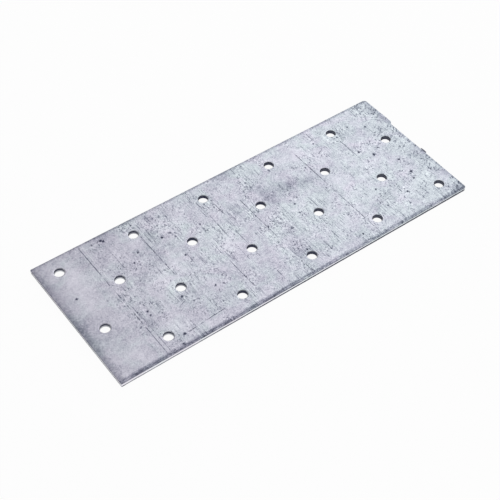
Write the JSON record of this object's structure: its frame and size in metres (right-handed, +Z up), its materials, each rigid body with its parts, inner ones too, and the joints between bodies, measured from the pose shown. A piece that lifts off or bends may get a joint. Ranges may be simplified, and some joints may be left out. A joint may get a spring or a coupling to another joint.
{
  "type": "mending plate",
  "caption": "Flat rectangular steel mending plate with a staggered grid of round nail holes, for joining timbers edge to edge.",
  "frame": {"origin": "centre of the hole grid, on the underside", "axes": "+X along the plate's length towards the end cropped in two bites, +Y across its width, +Z up through the thickness, out of the face that the holes were punched from"},
  "size_m": [0.2017, 0.0797, 0.002],
  "materials": {
    "galvanised_sheet": "hot-dip galvanised sheet, fine spangle, dull grey with a faint blue cast and transport scuffs"
  },
  "bodies": {
    "root": {"mending_plate": "galvanised_sheet"}
  },
  "joints": []
}
